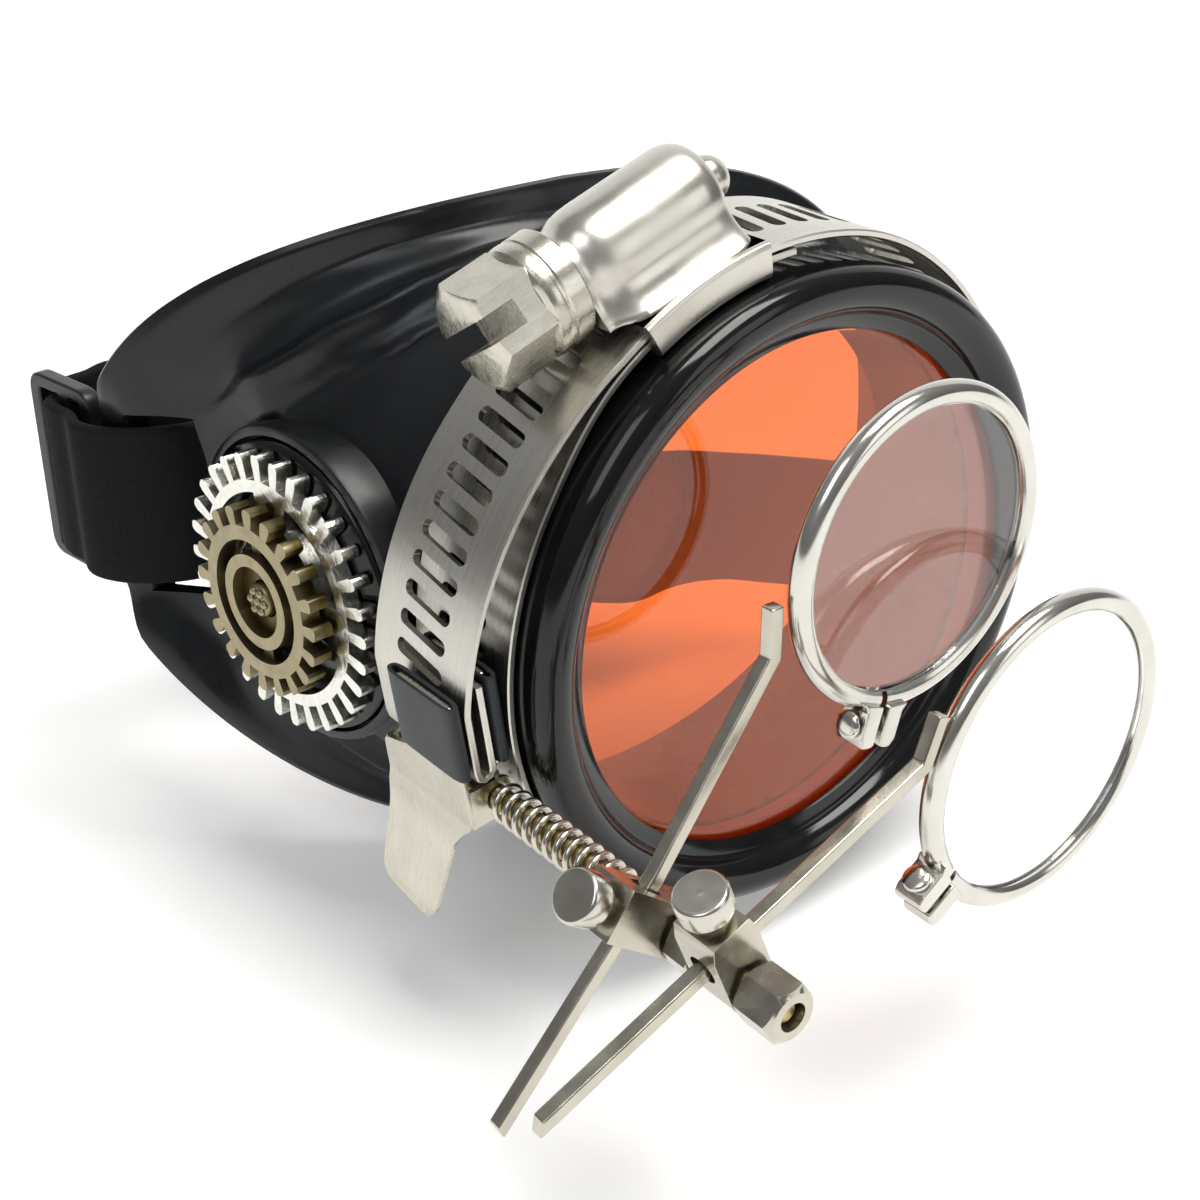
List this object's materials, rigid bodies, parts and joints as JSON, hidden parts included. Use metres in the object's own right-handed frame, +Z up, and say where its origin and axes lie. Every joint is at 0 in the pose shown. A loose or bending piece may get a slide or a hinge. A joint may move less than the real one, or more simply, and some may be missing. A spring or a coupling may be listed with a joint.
{
  "type": "monocle loupe",
  "caption": "half goggle eyepiece with an orange lens, ornamental gears and a hose clamp that carries a clip-on double loupe on swinging arms",
  "frame": {"origin": "centre of the main lens's front face", "axes": "the lens looks along -Y, +Z is up as it lies on a table, +X is to the right seen from in front, toward the nose side"},
  "size_m": [0.0793, 0.0964, 0.0707],
  "materials": {
    "cup_pvc": "smooth black moulded vinyl",
    "ring_plastic": "glossy black",
    "gasket_rubber": "pale silicone",
    "lens_tint": "transparent orange tint",
    "clamp_steel": "satin rolled stainless strip",
    "housing_steel": "pressed, lightly tumbled",
    "screw_steel": "plated, machined",
    "clip_nickel": "worn nickel plate",
    "sleeve_rubber": "matt shrink sleeve",
    "spring_wire": "bright wire",
    "shaft_brass": "worn plate over brass",
    "loupe_nickel": "satin nickel",
    "rim_nickel": "polished nickel",
    "loupe_glass": "clear, polished",
    "gear_silver": "bright silver plate",
    "gear_bronze": "antique bronze",
    "strap_fabric": "black woven elastic",
    "slider_plastic": "black moulded"
  },
  "bodies": {
    "cup": {"goggle_cup": "cup_pvc", "vent_cap": "cup_pvc", "silver_gear": "gear_silver", "bronze_gear": "gear_bronze", "gear_rosette": "gear_bronze", "lens_gasket": "gasket_rubber", "main_lens": "lens_tint", "retaining_ring": "ring_plastic", "clamp_band": "clamp_steel", "clamp_housing": "housing_steel", "clamp_saddle": "housing_steel", "clip_jaw": "clip_nickel", "inner_sleeve": "sleeve_rubber", "torsion_spring": "spring_wire", "loupe_shaft": "shaft_brass", "friction_spring": "spring_wire", "shaft_washer": "loupe_nickel", "hex_spacer": "loupe_nickel", "strap": "strap_fabric", "strap_slider": "slider_plastic"},
    "worm": {"worm_screw": "screw_steel"},
    "lever": {"clip_lever": "clip_nickel", "outer_sleeve": "sleeve_rubber"},
    "block_1": {"arm_block_1": "loupe_nickel"},
    "block_2": {"arm_block_2": "loupe_nickel"},
    "thumb_1": {"thumb_screw_1": "loupe_nickel"},
    "thumb_2": {"thumb_screw_2": "loupe_nickel"},
    "loupe_1": {"arm_1": "loupe_nickel", "rim_1": "rim_nickel", "loupe_lens_1": "loupe_glass"},
    "loupe_2": {"arm_2": "loupe_nickel", "rim_2": "rim_nickel", "loupe_lens_2": "loupe_glass"},
    "closing_1": {"rim_screw_1": "rim_nickel"},
    "closing_2": {"rim_screw_2": "rim_nickel"},
    "nut": {"shaft_nut": "loupe_nickel"}
  },
  "joints": [
    {"name": "worm_turn", "type": "hinge", "parent": "cup", "child": "worm", "pos_m": [-0.01166, 0.00685, 0.03204], "axis": [0.9397, 0, 0.342], "continuous": true},
    {"name": "clip_open", "type": "hinge", "parent": "cup", "child": "lever", "pos_m": [-0.03, 0, -0.0086], "axis": [0, -1, 0], "range_deg": [0, 20], "stiffness_Nm_per_rad": 0.03, "springref_deg": -28.65},
    {"name": "swing_1", "type": "hinge", "parent": "cup", "child": "block_1", "pos_m": [-0.03, -0.019, -0.0086], "axis": [0, -1, 0], "continuous": true},
    {"name": "swing_2", "type": "hinge", "parent": "cup", "child": "block_2", "pos_m": [-0.03, -0.0261, -0.0086], "axis": [0, -1, 0], "continuous": true},
    {"name": "slide_1", "type": "slide", "parent": "block_1", "child": "loupe_1", "axis": [0.6782, 0, 0.7349], "range_m": [0, 0.012]},
    {"name": "slide_2", "type": "slide", "parent": "block_2", "child": "loupe_2", "axis": [0.9272, 0, 0.3746], "range_m": [-0.01, 0.012]},
    {"name": "thumb_turn_1", "type": "hinge", "parent": "block_1", "child": "thumb_1", "pos_m": [-0.03567, -0.019, -0.00434], "axis": [-0.7997, 0, 0.6004], "continuous": true},
    {"name": "thumb_turn_2", "type": "hinge", "parent": "block_2", "child": "thumb_2", "pos_m": [-0.0322, -0.0261, -0.00313], "axis": [-0.3746, 0, 0.9272], "continuous": true},
    {"name": "rim_turn_1", "type": "hinge", "parent": "loupe_1", "child": "closing_1", "pos_m": [-0.01143, -0.0198, 0.00109], "axis": [-0.9613, 0, 0.2756], "continuous": true},
    {"name": "rim_turn_2", "type": "hinge", "parent": "loupe_2", "child": "closing_2", "pos_m": [-0.01104, -0.0264, -0.01065], "axis": [-0.5446, 0, 0.8387], "continuous": true},
    {"name": "nut_turn", "type": "hinge", "parent": "cup", "child": "nut", "pos_m": [-0.03, -0.03, -0.0086], "axis": [0, -1, 0], "continuous": true}
  ]
}
